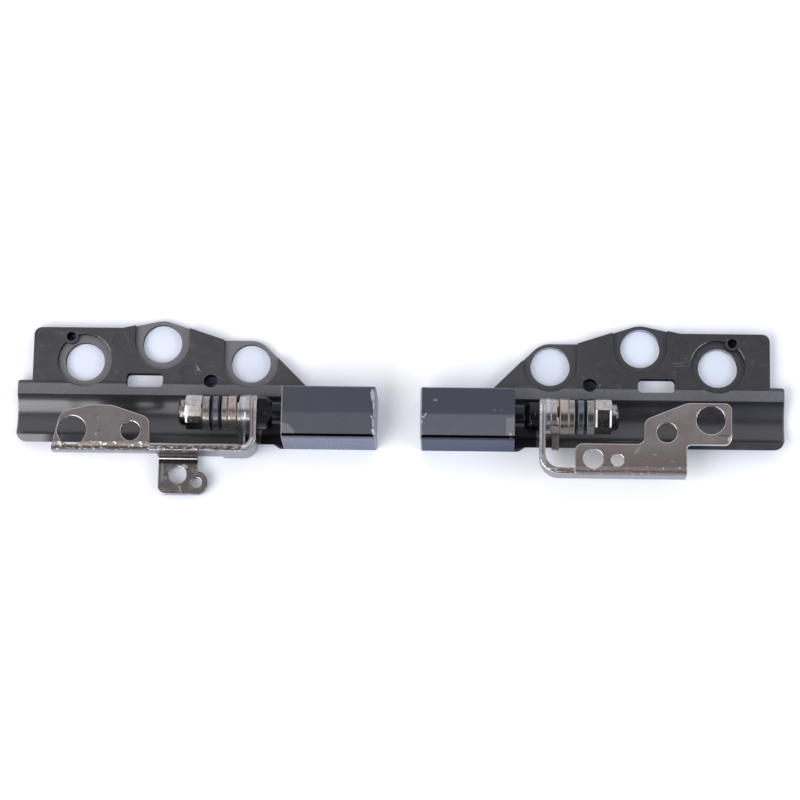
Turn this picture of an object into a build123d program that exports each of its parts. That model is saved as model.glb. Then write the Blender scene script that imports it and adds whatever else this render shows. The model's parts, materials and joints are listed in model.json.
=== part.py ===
from build123d import *
import os
from math import acos, atan2, cos, radians, sin, sqrt, tan

# A left and a right laptop hinge, lying open on a table. All sizes are in millimetres.
# Each unit is drawn in its own frame: X runs along the hinge axis from the outer end of the barrel cap,
# Y points to the lid side, Z points up, and the hinge axis is the line Y = 0, Z = 0.

# Pair layout and fits
UNIT_GAP = 7.4
RUNNING_CLEARANCE = 0.03
KEY_CLEARANCE = 0.03
SLIDE_CLEARANCE = 0.05
FACE_CLEARANCE = 0.02
THROUGH = 40.0
FILLET_SHARE = 0.95

# Trough of the lid plate
TROUGH_R = 4.7
TROUGH_WALL = 1.0
TROUGH_END = 60.75
RIM_DROP = 3.2
LIP_CORNER_R = 2.0

# Flange and ledge of the lid plate
FLANGE_THICKNESS = 2.0
FLANGE_END = 58.4
FLANGE_TOP = 15.2
FLANGE_CORNER_R = 1.3
LEDGE_Y = 5.4
LEDGE_RAMP = 0.6
LEDGE_CORNER_R = 0.5
BULGE_START = 43.4
INNER_SLOPE = 45.0

# Holes of the lid plate, as (X, Y) places
INNER_LID_HOLE = (21.55, 9.45)
MIDDLE_LID_HOLE = (36.65, 12.7)
OUTER_LID_HOLE = (49.7, 9.45)
LID_HOLE_D = 6.6
LID_RIM_R = 3.9
LID_SEAT_R = 4.6
LID_SEAT_DEPTH = 0.9
SLOT_PLACE = (39.4, 6.15)
SLOT_LENGTH = 6.2
SLOT_WIDTH = 2.5
SLOT_CORNER_R = 0.7
SMALL_HOLE_PLACE = (28.2, 6.1)
SMALL_HOLE_D = 2.35
LOCATING_HOLE_PLACE = (52.1, 13.6)
LOCATING_HOLE_D = 1.6
LOCATING_RING_R = 1.2
EJECTOR_PLACES = [(56.1, 13.3), (43.8, 12.8), (32.2, 7.4)]
EJECTOR_R = 1.35
EJECTOR_DEPTH = 0.12

# Barrel cap and the boss inside it
CAP_LENGTH = 15.7
CAP_TOP = 2.7
CAP_CREASE = 0.35
CAP_FRONT_FALL = 0.2
CAP_BACK = 4.23
CAP_FRONT_TOP = 4.26
CAP_FRONT_FOOT = 5.0
CAP_WALL = 0.8
CAP_EDGE_R = 0.4
CAP_END_R = 0.3
CAP_TO_FLANGE = 0.07
ROOT_STRAIGHT = 0.7
ROOT_LENGTH = 3.5
ROOT_NARROW = 4.2
ROOT_BEND_R = 1.5
ROOT_CORNER_R = 0.9

# Shaft
SHAFT_START = 5.0
NECK_R = 1.9
SHOULDER_R = 2.8
SHOULDER_FROM_CAP = 2.5
SHOULDER_CONE = 0.9
SHOULDER_FLATS = 3.8
JOURNAL_R = 1.6
KEY_FLATS = 2.2
THREAD_R = 1.25
THREAD_SHORT_OF_NUT = 0.2
END_CHAMFER = 0.25

# Sheet brackets
SHEET = 1.0
ARM_FROM_CAP = 4.1
ARM_R = 3.0
BRACKET_TOP = 3.0
FOLD_R = 0.4
LIP_PASS = 0.4
ARM_FLARE = 0.5

# Left bracket: wall close to the trough, a domed tab and an ear
LEFT_WALL_Y = 6.0
LEFT_ARM_BEND_R = 1.5
LEFT_WALL_END = 53.9
LEFT_HEEL_Z = -4.0
LEFT_HEEL_END = 25.6
LEFT_WAIST_Z = -2.5
LEFT_REAR_Z = -0.4
DOME_START = 37.4
DOME_TOP = 0.5
DOME_INNER_SHOULDER = (37.6, -1.6)
DOME_INNER_CREST = 43.9
DOME_CREST_LENGTH = 3.6
DOME_OUTER_SHOULDER = (52.4, -0.7)
DOME_SHOULDER_RS = (1.6, 2.2)
DOME_CREST_R = 4.0
DOME_HOLES = [((50.45, -3.85), 4.9), ((40.65, -3.85), 3.3)]
EAR_TOP_Z = -3.8
EAR_START = 30.0
EAR_WIDTH = 6.55
EAR_REACH = 13.25
EAR_CORNER_R = 1.2
EAR_LOBE_ALONG = 0.1
EAR_LOBE_R = 1.95
EAR_LOBE_HOLE_D = 1.8
EAR_HOLE_ALONG = 3.3
EAR_HOLE_INSET = 3.25
EAR_HOLE_D = 3.0

# Right bracket: wall further out, one long tab that widens into a lobe
RIGHT_WALL_Y = 9.1
RIGHT_ARM_BEND_R = 2.3
RIGHT_WALL_END = 44.1
RIGHT_WALL_Z = -1.8
STRIP_START = 25.7
STRIP_TOP = -5.1
STRIP_CORNER_R = 1.2
LOBE_START = 37.1
LOBE_SHOULDER_Y = -1.0
LOBE_CREST_START = 44.2
LOBE_TOP = 1.9
LOBE_END = 51.5
LOBE_BOTTOM = -5.05
LOBE_CORNER_R = 1.2
LOBE_SHOULDER_R = 1.6
LOBE_NOTCH_R = 0.8
LOBE_HOLES = [((48.05, -0.95), 4.8), ((40.8, -3.1), 3.4), ((28.7, -7.65), 3.3), ((32.7, -7.85), 2.1)]

# Friction stack, from the arm outwards
WASHER_R = 3.0
COLLAR_DISC = 0.9
COLLAR_BODY = 1.4
COLLAR_BODY_R = 2.9
RELIEF_DEPTH = 0.4
RELIEF_EDGE = 1.2
PEG_R = 0.4
PEG_LENGTH = 0.6
PEG_RADIUS = 2.3
LUG_REACH = 5.2
LUG_THICKNESS = 1.4
LUG_WIDTH = 1.2
FRICTION_WASHER = 1.5
PRESSURE_WASHER = 1.0
SPRING_SHEET = 0.32
SPRING_RISE = 0.16
SPRING_R = 2.85
SPRING_HOLE_R = 1.75
SPACER_WASHER = 0.95
THRUST_WASHER = 1.25
NUT_FLATS = 5.0
NUT_HEX = 2.9
NUT_NOSE = 1.1
NUT_NOSE_R = 2.2
NUT_NOSE_EDGE = 0.4
NUT_CHAMFER_R = 2.55
NUT_TURN = 18.0
SHAFT_TURNS = {"left": 0.0, "right": 90.0}
RELIEF_TURNS = {"left": 0.0, "right": 62.0}

# Derived levels and places
TABLE_Z = -(TROUGH_R + TROUGH_WALL)
FLANGE_Z = TABLE_Z + FLANGE_THICKNESS
LIP_Y = sqrt((TROUGH_R + TROUGH_WALL) ** 2 - RIM_DROP ** 2)
ROOT_END = CAP_LENGTH + ROOT_LENGTH
SHOULDER_START = CAP_LENGTH + SHOULDER_FROM_CAP
ARM_START = CAP_LENGTH + ARM_FROM_CAP
ARM_END = ARM_START + SHEET
COLLAR_END = ARM_END + COLLAR_DISC + COLLAR_BODY
EAR_END = EAR_START + EAR_WIDTH
EAR_LOBE_PLACE = (EAR_START + EAR_LOBE_ALONG, EAR_LOBE_R - EAR_REACH)
EAR_HOLE_PLACE = (EAR_START + EAR_HOLE_ALONG, EAR_HOLE_INSET - EAR_REACH)
DOME_OUTER_CREST = DOME_INNER_CREST + DOME_CREST_LENGTH
AXIS_Y = (EAR_REACH - (MIDDLE_LID_HOLE[1] + LID_RIM_R)) / 2
AXIS_Z = -TABLE_Z


def along_axis(sketch, start, length):
    """Extrude a section drawn in Y and Z along the hinge axis."""
    return Pos(start, 0, 0) * extrude(Plane.YZ * sketch, length)


def upright(sketch, bottom, height):
    """Extrude a plan drawn in X and Y upwards."""
    return Pos(0, 0, bottom) * extrude(sketch, height)


def polygon(*points):
    """Flat face with straight edges."""
    return make_face(Polyline(*points, close=True))


def rounded(sketch, point, radius):
    """Round the corner of a flat face nearest to a point, as far as its two edges leave room."""
    corner = sketch.vertices().sort_by_distance(Vector(*point))[0]
    sides = sketch.edges().sort_by_distance(corner)[:2]
    ways = [(side.center() - Vector(corner)).normalized() for side in sides]
    half_angle = radians(ways[0].get_angle(ways[1])) / 2
    room = FILLET_SHARE * min(side.length for side in sides) * tan(half_angle)
    return fillet(corner, min(radius, room))


def touch_point(point, centre, radius, turn):
    """Where a line from a point touches a circle, on the side that turn gives."""
    across = Vector(*point) - Vector(*centre)
    angle = atan2(across.Y, across.X) + turn * acos(radius / across.length)
    return Vector(*centre) + Vector(cos(angle), sin(angle)) * radius


def flange_outline():
    """Flange plan: straight edges, with arcs round the middle and inner lid holes."""
    middle = Vector(*MIDDLE_LID_HOLE)
    inner = Vector(*INNER_LID_HOLE)
    bulge_foot = Vector(BULGE_START, FLANGE_TOP)
    shoulder = Vector(inner.X + LID_SEAT_R, inner.Y + LID_RIM_R)
    far_touch = touch_point(bulge_foot, middle, LID_RIM_R, 1)
    near_touch = touch_point(shoulder, middle, LID_RIM_R, -1)
    arc_start = inner + Vector(0, LID_RIM_R)
    arc_middle = inner + Vector(0, LID_RIM_R).rotate(Axis.Z, INNER_SLOPE / 2)
    arc_end = inner + Vector(0, LID_RIM_R).rotate(Axis.Z, INNER_SLOPE)
    cap_side = CAP_BACK + CAP_TO_FLANGE
    slope_run = (arc_end.Y - cap_side) * cos(radians(INNER_SLOPE)) / sin(radians(INNER_SLOPE))
    slope_foot = Vector(arc_end.X - slope_run, cap_side)
    edges = [
        Polyline(slope_foot, (CAP_LENGTH, cap_side), (CAP_LENGTH, 0), (FLANGE_END, 0),
                 (FLANGE_END, FLANGE_TOP), bulge_foot, far_touch),
        ThreePointArc(far_touch, middle + Vector(0, LID_RIM_R), near_touch),
        Polyline(near_touch, shoulder, arc_start),
        ThreePointArc(arc_start, arc_middle, arc_end),
        Line(arc_end, slope_foot),
    ]
    return rounded(make_face(edges), (FLANGE_END, FLANGE_TOP), FLANGE_CORNER_R)


def trough_rail():
    """Half-round rail of the trough with the ledge beside it, before the trough is bored."""
    ledge_foot = LEDGE_Y + LEDGE_RAMP
    rim_middle = (TABLE_Z - RIM_DROP) / 2
    below_rim = Pos(0, rim_middle) * Rectangle(THROUGH, -RIM_DROP - TABLE_Z)
    ledge = polygon((0, TABLE_Z), (ledge_foot, TABLE_Z), (ledge_foot, FLANGE_Z), (LEDGE_Y, -RIM_DROP),
                    (0, -RIM_DROP))
    rail = along_axis((Circle(-TABLE_Z) & below_rim) + ledge, CAP_LENGTH, TROUGH_END - CAP_LENGTH)
    plan = polygon((CAP_LENGTH, -LIP_Y), (TROUGH_END, -LIP_Y), (TROUGH_END, ledge_foot),
                   (CAP_LENGTH, ledge_foot))
    plan = rounded(plan, (TROUGH_END, -LIP_Y), LIP_CORNER_R)
    plan = rounded(plan, (TROUGH_END, ledge_foot), LEDGE_CORNER_R)
    return rail & upright(plan, TABLE_Z, THROUGH)


def plate_root():
    """Fuller foot of the trough beside the cap; its front curves in to the lip."""
    root_bend = (CAP_LENGTH + ROOT_STRAIGHT, -CAP_FRONT_FOOT)
    narrow_bend = (ROOT_END - 2 * ROOT_CORNER_R, -ROOT_NARROW)
    plan = polygon((CAP_LENGTH, 0), (CAP_LENGTH, -CAP_FRONT_FOOT), root_bend, narrow_bend,
                   (ROOT_END, -ROOT_NARROW), (ROOT_END, 0))
    plan = rounded(plan, root_bend, ROOT_BEND_R)
    plan = rounded(plan, narrow_bend, ROOT_BEND_R)
    plan = rounded(plan, (ROOT_END, -ROOT_NARROW), ROOT_CORNER_R)
    return upright(plan, TABLE_Z, -RIM_DROP - TABLE_Z)


def cap_section():
    """Outer section of the barrel cap: a creased top, and a front face drafted outwards to its foot."""
    return polygon((-CAP_FRONT_FOOT, TABLE_Z), (CAP_BACK, TABLE_Z), (CAP_BACK, CAP_TOP),
                   (-CAP_CREASE, CAP_TOP), (-CAP_FRONT_TOP, CAP_TOP - CAP_FRONT_FALL))


def boss():
    """Block inside the cap that the shaft is pressed into."""
    section = offset(cap_section(), -(CAP_WALL + SLIDE_CLEARANCE), kind=Kind.INTERSECTION)
    block_start = CAP_WALL + SLIDE_CLEARANCE
    block = along_axis(section, block_start, CAP_LENGTH - block_start)
    bore = Circle(NECK_R + FACE_CLEARANCE)
    return block - along_axis(bore, SHAFT_START - FACE_CLEARANCE, CAP_LENGTH)


def lid_seat(place, runs_out):
    """Plan of the sunk seat round a lid hole; some run out over the top edge."""
    seat = Pos(*place) * Circle(LID_SEAT_R)
    if runs_out:
        seat += Pos(place[0], place[1] + THROUGH / 2) * Rectangle(2 * LID_SEAT_R, THROUGH)
    return seat


def hinge_plate():
    """Die-cast lid plate: flange, ledge, trough, root and boss in one piece."""
    plate = upright(flange_outline(), TABLE_Z, FLANGE_THICKNESS) + trough_rail() + plate_root()
    plate -= along_axis(Circle(TROUGH_R), CAP_LENGTH, 2 * THROUGH)
    plate += boss()
    seats = [(INNER_LID_HOLE, True), (MIDDLE_LID_HOLE, True), (OUTER_LID_HOLE, False)]
    locating_ring = Pos(*LOCATING_HOLE_PLACE) * Circle(LOCATING_RING_R)
    for place, runs_out in seats:
        plate -= upright(lid_seat(place, runs_out) - locating_ring, FLANGE_Z - LID_SEAT_DEPTH, THROUGH)
    plan = Pos(*SLOT_PLACE) * RectangleRounded(SLOT_LENGTH, SLOT_WIDTH, SLOT_CORNER_R)
    plan += Pos(*SMALL_HOLE_PLACE) * Circle(SMALL_HOLE_D / 2)
    plan += Pos(*LOCATING_HOLE_PLACE) * Circle(LOCATING_HOLE_D / 2)
    for place, runs_out in seats:
        plan += Pos(*place) * Circle(LID_HOLE_D / 2)
    plate -= upright(plan, TABLE_Z, THROUGH)
    for place in EJECTOR_PLACES:
        plate -= upright(Pos(*place) * Circle(EJECTOR_R), FLANGE_Z - EJECTOR_DEPTH, THROUGH)
    return plate


def barrel_cap():
    """Painted cover with a closed outer end, slid over the boss."""
    section = cap_section()
    outer = rounded(section, (CAP_BACK, CAP_TOP), CAP_EDGE_R)
    outer = rounded(outer, (-CAP_FRONT_TOP, CAP_TOP - CAP_FRONT_FALL), CAP_EDGE_R)
    shell = along_axis(outer, 0, CAP_LENGTH)
    shell = fillet(shell.faces().sort_by(Axis.X)[0].edges(), CAP_END_R)
    cavity = offset(section, -CAP_WALL, kind=Kind.INTERSECTION)
    return shell - along_axis(cavity, CAP_WALL, CAP_LENGTH)


def double_d(radius, flats):
    """Round section with two flats, which keys the washers to the shaft."""
    return Circle(radius) & Rectangle(2 * radius, flats)


def stack_places():
    """Start of each piece of the friction stack that follows the stop collar."""
    spring = SPRING_SHEET + SPRING_RISE
    lengths = [
        ("friction_washer", FRICTION_WASHER),
        ("pressure_washer", PRESSURE_WASHER),
        ("inner_disc_spring", spring),
        ("spacer_washer", SPACER_WASHER),
        ("outer_disc_spring", spring),
        ("thrust_washer", THRUST_WASHER),
        ("lock_nut", NUT_HEX + NUT_NOSE),
    ]
    places = {}
    start = COLLAR_END + FACE_CLEARANCE
    for name, length in lengths:
        places[name] = start
        start += length + FACE_CLEARANCE
    return places


def shaft(turn):
    """Steel pin: neck in the boss, flatted shoulder, journal, key flats and threaded end."""
    places = stack_places()
    thread_end = places["lock_nut"] + NUT_HEX + NUT_NOSE - THREAD_SHORT_OF_NUT
    shoulder_end = ARM_START - FACE_CLEARANCE
    neck = along_axis(Circle(NECK_R), SHAFT_START, shoulder_end - SHAFT_START)
    shoulder_plan = polygon((SHOULDER_START - SHOULDER_CONE, 0), (SHOULDER_START - SHOULDER_CONE, NECK_R),
                            (SHOULDER_START, SHOULDER_R), (shoulder_end, SHOULDER_R), (shoulder_end, 0))
    shoulder_flats = along_axis(Rectangle(2 * SHOULDER_R, SHOULDER_FLATS), 0, THROUGH)
    shoulder = revolve(shoulder_plan, Axis.X) & shoulder_flats
    journal = along_axis(Circle(JOURNAL_R), shoulder_end, COLLAR_END - shoulder_end)
    key = along_axis(double_d(JOURNAL_R, KEY_FLATS), COLLAR_END, places["lock_nut"] - COLLAR_END)
    thread = along_axis(Circle(THREAD_R), places["lock_nut"], thread_end - places["lock_nut"])
    thread = chamfer(thread.faces().sort_by(Axis.X)[-1].edges(), END_CHAMFER)
    return Rot(X=turn) * (neck + shoulder + journal + key + thread)


def elbow(end_a, corner, end_b, bend_r):
    """Section of a folded sheet: two legs at right angles that meet in a bend."""
    corner, end_a, end_b = Vector(*corner), Vector(*end_a), Vector(*end_b)
    half_a = (end_a - corner).normalized() * (SHEET / 2)
    half_b = (end_b - corner).normalized() * (SHEET / 2)
    inside = corner + half_a + half_b
    outside = corner - half_a - half_b
    face = polygon(end_a - half_b, outside, end_b - half_a, end_b + half_a, inside, end_a + half_b)
    face = rounded(face, inside, bend_r)
    return rounded(face, outside, bend_r + SHEET)


def arm_and_wall(wall_y, arm_bend_r, wall_end, heel_z):
    """Arm across the axis, bent round into the wall that runs along it."""
    arm_middle = ARM_START + SHEET / 2
    wall_middle = -(wall_y + SHEET / 2)
    plan = elbow((arm_middle, ARM_R), (arm_middle, wall_middle), (wall_end, wall_middle), arm_bend_r)
    lowest = min(heel_z, -ARM_R)
    strip = upright(plan, lowest, BRACKET_TOP - lowest)
    past_lip = -(LIP_Y + LIP_PASS)
    flare = abs(heel_z + ARM_R) * ARM_FLARE
    wall_back = -(wall_y + SHEET)
    side = polygon((0, BRACKET_TOP), (0, -ARM_R), (past_lip, -ARM_R), (past_lip - flare, heel_z),
                   (wall_back, heel_z), (wall_back, BRACKET_TOP))
    side += Circle(ARM_R)
    return strip & along_axis(side, 0, 2 * THROUGH)


def arm_holes():
    """Journal hole and the two peg holes of the arm."""
    holes = Circle(JOURNAL_R + RUNNING_CLEARANCE)
    for z in (-PEG_RADIUS, PEG_RADIUS):
        holes += Pos(0, z) * Circle(PEG_R + FACE_CLEARANCE)
    return along_axis(holes, ARM_START - SHEET, 3 * SHEET)


def folded_tab(wall_y, plan, reach):
    """Tab bent from the top of a wall over the trough, trimmed to its plan."""
    wall_middle = -(wall_y + SHEET / 2)
    tab_middle = BRACKET_TOP - SHEET / 2
    section = elbow((wall_middle, 0), (wall_middle, tab_middle), (reach, tab_middle), FOLD_R)
    return along_axis(section, 0, 2 * THROUGH) & upright(plan, TABLE_Z, THROUGH)


def sheet_holes(holes, top):
    """Punched holes through one flat of a bracket, as (place, diameter) pairs."""
    cutters = [Pos(*place) * Circle(diameter / 2) for place, diameter in holes]
    return upright(Sketch() + cutters, top - SHEET - FOLD_R, SHEET + 2 * FOLD_R)


def side_mask(points):
    """Keep the part of a wall that lies inside an outline drawn in X and Z."""
    return Pos(0, THROUGH, 0) * extrude(Plane.XZ * polygon(*points), 2 * THROUGH)


def left_bracket():
    """Left base bracket: arm, close wall, domed tab on top and an ear at the table side."""
    fold_z = BRACKET_TOP - SHEET - FOLD_R
    wall_back = -(LEFT_WALL_Y + SHEET)
    outline = [(0, BRACKET_TOP), (0, LEFT_HEEL_Z), (LEFT_HEEL_END, LEFT_HEEL_Z),
               (LEFT_HEEL_END, LEFT_WAIST_Z), (EAR_END, LEFT_WAIST_Z), (EAR_END, LEFT_REAR_Z),
               (LEFT_WALL_END, LEFT_REAR_Z), (LEFT_WALL_END, fold_z), (DOME_START, fold_z),
               (DOME_START, BRACKET_TOP)]
    bracket = arm_and_wall(LEFT_WALL_Y, LEFT_ARM_BEND_R, LEFT_WALL_END, LEFT_HEEL_Z) & side_mask(outline)

    inner_crest = (DOME_INNER_CREST, DOME_TOP)
    outer_crest = (DOME_OUTER_CREST, DOME_TOP)
    dome = polygon((DOME_START, wall_back), DOME_INNER_SHOULDER, inner_crest, outer_crest,
                   DOME_OUTER_SHOULDER, (LEFT_WALL_END, wall_back))
    dome = rounded(dome, DOME_INNER_SHOULDER, DOME_SHOULDER_RS[0])
    dome = rounded(dome, DOME_OUTER_SHOULDER, DOME_SHOULDER_RS[1])
    dome = rounded(dome, inner_crest, DOME_CREST_R)
    dome = rounded(dome, outer_crest, DOME_CREST_R)
    bracket += folded_tab(LEFT_WALL_Y, dome, THROUGH)

    wall_middle = -(LEFT_WALL_Y + SHEET / 2)
    ear_middle = EAR_TOP_Z - SHEET / 2
    section = elbow((wall_middle, LEFT_WAIST_Z + SHEET), (wall_middle, ear_middle), (-EAR_REACH, ear_middle),
                    FOLD_R)
    ear_plan = polygon((EAR_START, -LEFT_WALL_Y), (EAR_END, -LEFT_WALL_Y), (EAR_END, -EAR_REACH),
                       (EAR_START, -EAR_REACH))
    ear_plan = rounded(ear_plan, (EAR_END, -EAR_REACH), EAR_CORNER_R)
    ear_plan += Pos(*EAR_LOBE_PLACE) * Circle(EAR_LOBE_R)
    bracket += along_axis(section, 0, 2 * THROUGH) & upright(ear_plan, TABLE_Z, THROUGH)

    ear_holes = [(EAR_HOLE_PLACE, EAR_HOLE_D), (EAR_LOBE_PLACE, EAR_LOBE_HOLE_D)]
    return bracket - arm_holes() - sheet_holes(DOME_HOLES, BRACKET_TOP) - sheet_holes(ear_holes, EAR_TOP_Z)


def right_bracket():
    """Right base bracket: arm, outlying wall and one long tab that widens into a lobe."""
    fold_z = BRACKET_TOP - SHEET - FOLD_R
    wall_back = -(RIGHT_WALL_Y + SHEET)
    lowest = min(RIGHT_WALL_Z, -ARM_R)
    outline = [(0, BRACKET_TOP), (0, lowest), (RIGHT_WALL_END, lowest), (RIGHT_WALL_END, fold_z),
               (STRIP_START, fold_z), (STRIP_START, BRACKET_TOP)]
    bracket = arm_and_wall(RIGHT_WALL_Y, RIGHT_ARM_BEND_R, RIGHT_WALL_END, RIGHT_WALL_Z) & side_mask(outline)

    strip_corner = (STRIP_START, STRIP_TOP)
    lobe_foot = (LOBE_START, STRIP_TOP)
    lobe_shoulder = (LOBE_START, LOBE_SHOULDER_Y)
    crest = (LOBE_CREST_START, LOBE_TOP)
    top_corner = (LOBE_END, LOBE_TOP)
    bottom_corner = (LOBE_END, LOBE_BOTTOM)
    notch = (RIGHT_WALL_END, LOBE_BOTTOM)
    tab = polygon((STRIP_START, wall_back), strip_corner, lobe_foot, lobe_shoulder, crest, top_corner,
                  bottom_corner, notch, (RIGHT_WALL_END, wall_back))
    tab = rounded(tab, strip_corner, STRIP_CORNER_R)
    tab = rounded(tab, lobe_foot, STRIP_CORNER_R)
    tab = rounded(tab, lobe_shoulder, LOBE_SHOULDER_R)
    tab = rounded(tab, crest, DOME_CREST_R)
    tab = rounded(tab, top_corner, LOBE_CORNER_R)
    tab = rounded(tab, bottom_corner, LOBE_CORNER_R)
    tab = rounded(tab, notch, LOBE_NOTCH_R)
    bracket += folded_tab(RIGHT_WALL_Y, tab, THROUGH)
    return bracket - arm_holes() - sheet_holes(LOBE_HOLES, BRACKET_TOP)


def stop_collar(relief_turn):
    """Collar pegged to the arm, with a lug over the trough's lip and a cam relief in its end face."""
    body_start = ARM_END + COLLAR_DISC
    collar = along_axis(Circle(WASHER_R), ARM_END, COLLAR_DISC)
    collar += along_axis(Circle(COLLAR_BODY_R), body_start, COLLAR_BODY)
    lug_plan = Pos(-LUG_REACH / 2, LUG_THICKNESS / 2 - ARM_R) * Rectangle(LUG_REACH, LUG_THICKNESS)
    collar += along_axis(lug_plan, COLLAR_END - LUG_WIDTH, LUG_WIDTH)
    for z in (-PEG_RADIUS, PEG_RADIUS):
        collar += along_axis(Pos(0, z) * Circle(PEG_R), ARM_END - PEG_LENGTH, PEG_LENGTH)
    relief = Pos(RELIEF_EDGE + THROUGH / 2, 0) * Rectangle(THROUGH, THROUGH)
    collar -= Rot(X=relief_turn) * along_axis(relief, COLLAR_END - RELIEF_DEPTH, THROUGH)
    return collar - along_axis(Circle(JOURNAL_R + RUNNING_CLEARANCE), ARM_START, THROUGH)


def keyed_washer(start, thickness, turn):
    """Flat washer with a keyed hole."""
    disc = along_axis(Circle(WASHER_R), start, thickness)
    hole = double_d(JOURNAL_R + KEY_CLEARANCE, KEY_FLATS + 2 * KEY_CLEARANCE)
    return disc - Rot(X=turn) * along_axis(hole, start - thickness, 3 * thickness)


def disc_spring(start, opens_out):
    """Conical spring washer, a slanted section turned round the axis."""
    rise_in, rise_out = (0, SPRING_RISE) if opens_out else (SPRING_RISE, 0)
    section = polygon((start + rise_in, SPRING_HOLE_R), (start + rise_out, SPRING_R),
                      (start + rise_out + SPRING_SHEET, SPRING_R),
                      (start + rise_in + SPRING_SHEET, SPRING_HOLE_R))
    return revolve(section, Axis.X)


def lock_nut(start):
    """Hexagon nut with bevelled corners and a round locking nose."""
    hexagon = Rot(Z=NUT_TURN) * RegularPolygon(NUT_FLATS / 2, 6, major_radius=False)
    corner_r = NUT_FLATS / sqrt(3)
    bevel = (corner_r - NUT_CHAMFER_R) / 2
    hex_end = start + NUT_HEX
    bevels = polygon((start, 0), (start, NUT_CHAMFER_R), (start + bevel, corner_r),
                     (hex_end - bevel, corner_r), (hex_end, NUT_CHAMFER_R), (hex_end, 0))
    nut = along_axis(hexagon, start, NUT_HEX) & revolve(bevels, Axis.X)
    nose = along_axis(Circle(NUT_NOSE_R), hex_end, NUT_NOSE)
    nose = chamfer(nose.faces().sort_by(Axis.X)[-1].edges(), NUT_NOSE_EDGE)
    return nut + nose - along_axis(Circle(THREAD_R + FACE_CLEARANCE), start, THROUGH)


def unit_pieces(side):
    """All the pieces of one hinge, by name, in the unit's own frame."""
    places = stack_places()
    turn = SHAFT_TURNS[side]
    return {
        "hinge_plate": hinge_plate(),
        "barrel_cap": barrel_cap(),
        "shaft": shaft(turn),
        "base_bracket": left_bracket() if side == "left" else right_bracket(),
        "stop_collar": stop_collar(RELIEF_TURNS[side]),
        "friction_washer": keyed_washer(places["friction_washer"], FRICTION_WASHER, turn),
        "pressure_washer": keyed_washer(places["pressure_washer"], PRESSURE_WASHER, turn),
        "inner_disc_spring": disc_spring(places["inner_disc_spring"], True),
        "spacer_washer": keyed_washer(places["spacer_washer"], SPACER_WASHER, turn),
        "outer_disc_spring": disc_spring(places["outer_disc_spring"], False),
        "thrust_washer": keyed_washer(places["thrust_washer"], THRUST_WASHER, turn),
        "lock_nut": lock_nut(places["lock_nut"]),
    }


def place(piece, side):
    """Move a piece to the pair's frame; the left unit faces the other way along X."""
    moved = Pos(UNIT_GAP / 2, AXIS_Y, AXIS_Z) * piece
    return mirror(moved, about=Plane.YZ) if side == "left" else moved


os.makedirs("parts", exist_ok=True)
for side in ("left", "right"):
    for name, piece in unit_pieces(side).items():
        export_step(place(piece, side), f"parts/{side}_{name}.step")
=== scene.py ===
import json
import math

import bpy
from mathutils import Matrix, Vector


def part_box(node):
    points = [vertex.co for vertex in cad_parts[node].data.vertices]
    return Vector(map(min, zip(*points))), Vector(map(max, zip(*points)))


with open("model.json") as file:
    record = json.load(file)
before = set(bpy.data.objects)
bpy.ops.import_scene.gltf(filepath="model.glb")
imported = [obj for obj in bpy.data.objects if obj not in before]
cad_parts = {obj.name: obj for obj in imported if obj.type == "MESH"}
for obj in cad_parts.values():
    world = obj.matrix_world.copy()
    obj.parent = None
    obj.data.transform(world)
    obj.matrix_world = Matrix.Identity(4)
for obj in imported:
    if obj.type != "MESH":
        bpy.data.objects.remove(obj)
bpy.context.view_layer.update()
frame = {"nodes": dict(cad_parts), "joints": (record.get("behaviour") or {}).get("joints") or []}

# Lid plates
# Each plate is one die casting with a thin dark satin coat: a flange with three large lid holes in sunk
# seats, a ledge, a half-round trough below the hinge axis, and a boss inside the barrel cap. The cast skin
# is grainy, the trough is smoother, and the ledge and the seats are lighter. Light lines on the edges and
# round the far seat, a lit far lip and trough end and glints on the lid-hole walls are painted highlights;
# the coat near the cap is lifted with painted light; the standing walls, the root by the cap and the back
# of the trough are darkened with painted shade. The right plate is a darker, shaded copy of the left.
MM = 0.001
SIDES = ("left", "right")
nodes = frame["nodes"]
hinge_axis = Vector(frame["joints"][0]["pos_m"]) / MM
cap_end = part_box("right_barrel_cap")[0][0] / MM
cap_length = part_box("right_barrel_cap")[1][0] / MM - cap_end
# Painted light and shade: the left plate's coat, seats and trough are lit copies of the right's darker ones.
PLATE_TONES = {
    "left": ((0.006, 0.006, 0.009, 1), (0.018, 0.018, 0.024, 1)),
    "right": ((0.002, 0.002, 0.004, 1), (0.009, 0.009, 0.013, 1)),
}
SEAT_TONES = {"left": (0.117, 0.115, 0.119, 1), "right": (0.016, 0.016, 0.020, 1)}
TROUGH_TONES = {"left": (0.027, 0.0265, 0.031, 1), "right": (0.020, 0.020, 0.026, 1)}
LEDGE_TONES = {"left": (0.095, 0.094, 0.10, 1), "right": (0.10, 0.10, 0.113, 1)}
# Near-black for ejector marks and painted shade; pale greys for scuffs, painted highlights and glints.
PLATE_SHADE_AND_MARKS = (0.002, 0.002, 0.004, 1)
PLATE_SHEEN_AND_WEAR = (0.26, 0.26, 0.27, 1)
PLATE_SMEAR = (0.055, 0.054, 0.059, 1)
HOLE_GLINT_TONE = (0.80, 0.81, 0.84, 1)
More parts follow.
